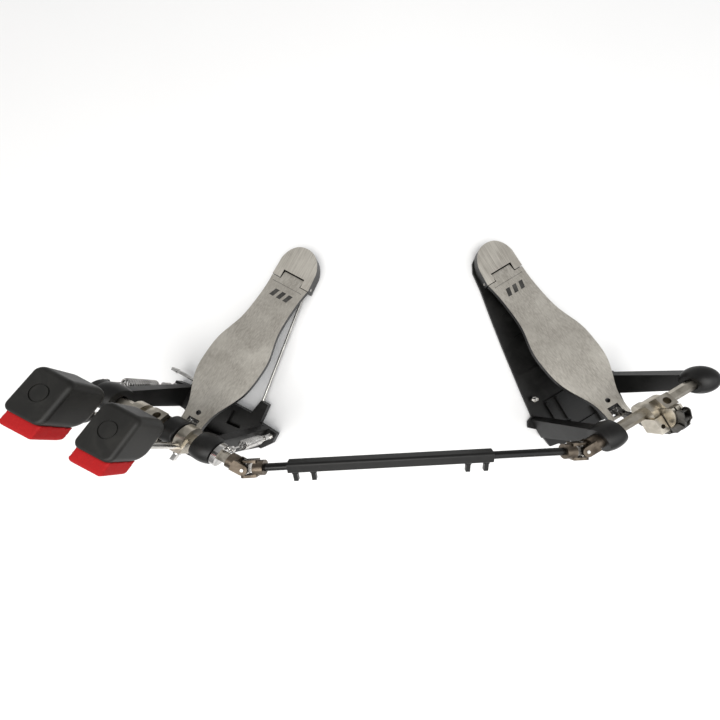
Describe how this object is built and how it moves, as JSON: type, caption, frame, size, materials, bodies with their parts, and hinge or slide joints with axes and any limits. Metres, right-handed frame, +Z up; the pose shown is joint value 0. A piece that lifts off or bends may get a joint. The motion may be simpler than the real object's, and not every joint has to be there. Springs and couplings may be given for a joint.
{
  "type": "bass drum pedal",
  "caption": "Double bass drum pedal: two hinged footboards, chain-driven rockers, felt beaters and a telescopic drive shaft with universal joints.",
  "frame": {"origin": "middle of the bounding box, on the floor", "axes": "+Z up, +X from the two-beater pedal to the remote pedal, +Y from the drum towards the player's heels"},
  "size_m": [0.7711, 0.3631, 0.2444],
  "materials": {
    "board_aluminium": "brushed warm aluminium",
    "steel_pin": "ground steel",
    "black_frame": "satin black powder coat",
    "nickel": "warm satin nickel",
    "chain_steel": "blackened steel",
    "yoke_steel": "brown gunmetal",
    "rod_black": "gloss black",
    "rubber": "matte rubber",
    "chrome": "bright plate",
    "dark_grey": "satin dark grey",
    "beater_black": "satin black plastic",
    "felt": "dense red felt"
  },
  "bodies": {
    "frames": {"primary_base": "black_frame", "primary_feet": "rubber", "primary_heel_plate": "board_aluminium", "primary_hinge_pin": "steel_pin", "primary_braces": "steel_pin", "primary_post_left": "black_frame", "primary_post_right": "black_frame", "primary_bearings": "steel_pin", "side_screw": "chrome", "clamp_pin": "steel_pin", "spring_left": "chrome", "spring_right": "chrome", "spring_adjusters": "chrome", "slave_base_plate": "black_frame", "slave_rubber_strips": "rubber", "slave_spurs": "chrome", "slave_heel_plate": "board_aluminium", "slave_hinge_pin": "steel_pin", "slave_post_left": "black_frame", "slave_post_right": "black_frame", "slave_bearings": "steel_pin"},
    "primary_board": {"primary_footboard": "board_aluminium", "primary_toe_pin": "steel_pin"},
    "slave_board": {"slave_footboard": "board_aluminium", "slave_toe_pin": "steel_pin"},
    "primary_rocker": {"primary_axle": "nickel", "primary_cam": "nickel", "primary_chain_wrap": "chain_steel", "spring_cam_left": "dark_grey", "main_hub": "nickel", "main_beater_screw": "chrome", "main_beater_rod": "steel_pin", "main_beater_head": "beater_black", "main_beater_felt": "felt"},
    "aux_rocker": {"aux_axle": "nickel", "aux_sleeve": "black_frame", "aux_hub": "nickel", "aux_beater_screw": "chrome", "aux_beater_rod": "steel_pin", "aux_beater_head": "beater_black", "aux_beater_felt": "felt", "spring_cam_right": "chrome", "primary_yoke": "yoke_steel", "primary_cross": "steel_pin"},
    "slave_rocker": {"slave_axle": "nickel", "slave_cam": "nickel", "slave_chain_wrap": "chain_steel", "slave_yoke": "yoke_steel", "slave_cross": "steel_pin"},
    "drive_shaft": {"link_yoke_primary": "yoke_steel", "link_rod_primary": "rod_black", "link_sleeve": "black_frame", "link_key_bolts": "chain_steel", "link_rod_slave": "rod_black", "link_yoke_slave": "yoke_steel"},
    "primary_chain": {"primary_chain_run": "chain_steel"},
    "slave_chain": {"slave_chain_run": "chain_steel"},
    "jaw": {"clamp_jaw": "black_frame"},
    "wing_screw": {"clamp_wing_screw": "chrome"}
  },
  "joints": [
    {"name": "primary_footboard_press", "type": "hinge", "parent": "frames", "child": "primary_board", "pos_m": [-0.17923, 0.1182, 0.0148], "axis": [0.8821, -0.471, 0], "range_deg": [-1.33, 4.8], "stiffness_Nm_per_rad": 60, "springref_deg": -1.29},
    {"name": "slave_footboard_press", "type": "hinge", "parent": "frames", "child": "slave_board", "pos_m": [0.16976, 0.12958, 0.0148], "axis": [0.8563, 0.5165, 0], "range_deg": [-1.33, 4.8], "stiffness_Nm_per_rad": 60, "springref_deg": -1.29},
    {"name": "primary_axle_turn", "type": "hinge", "parent": "frames", "child": "primary_rocker", "pos_m": [-0.2999, -0.1078, 0.136], "axis": [0.8821, -0.471, 0], "range_deg": [-9.98, 35.97], "deforming": ["spring_left"]},
    {"name": "aux_axle_turn", "type": "hinge", "parent": "frames", "child": "aux_rocker", "pos_m": [-0.2999, -0.1078, 0.136], "axis": [0.8821, -0.471, 0], "range_deg": [-9.98, 35.97], "deforming": ["spring_right"]},
    {"name": "slave_axle_turn", "type": "hinge", "parent": "frames", "child": "slave_rocker", "pos_m": [0.3021, -0.0898, 0.136], "axis": [0.8563, 0.5165, 0], "range_deg": [-9.98, 35.97]},
    {"name": "drive_shaft_spin", "type": "hinge", "parent": "frames", "child": "drive_shaft", "pos_m": [-0.19493, -0.16385, 0.136], "axis": [0.9986, 0.0532, 0], "range_deg": [-8.99, 32.38]},
    {"name": "primary_chain_hang", "type": "hinge", "parent": "primary_rocker", "child": "primary_chain", "pos_m": [-0.31449, -0.13513, 0.13155], "axis": [0.8821, -0.471, 0], "range_deg": [-47.68, 13.23]},
    {"name": "slave_chain_hang", "type": "hinge", "parent": "slave_rocker", "child": "slave_chain", "pos_m": [0.3181, -0.11633, 0.13155], "axis": [0.8563, 0.5165, 0], "range_deg": [-47.68, 13.23]},
    {"name": "clamp_jaw_tilt", "type": "hinge", "parent": "frames", "child": "jaw", "pos_m": [-0.31591, -0.13779, 0.024], "axis": [-0.8821, 0.471, 0], "range_deg": [-3, 4]},
    {"name": "clamp_wing_turn", "type": "hinge", "parent": "frames", "child": "wing_screw", "pos_m": [-0.34333, -0.14243, 0.04], "axis": [0, 0, 1], "continuous": true}
  ],
  "couplings": [
    {"joint": "primary_axle_turn", "follows": "primary_footboard_press", "ratio": 7.49},
    {"joint": "primary_chain_hang", "follows": "primary_footboard_press", "ratio": -9.93},
    {"joint": "slave_axle_turn", "follows": "slave_footboard_press", "ratio": 7.49},
    {"joint": "aux_axle_turn", "follows": "slave_footboard_press", "ratio": 7.49},
    {"joint": "drive_shaft_spin", "follows": "slave_footboard_press", "ratio": 6.741},
    {"joint": "slave_chain_hang", "follows": "slave_footboard_press", "ratio": -9.93}
  ]
}
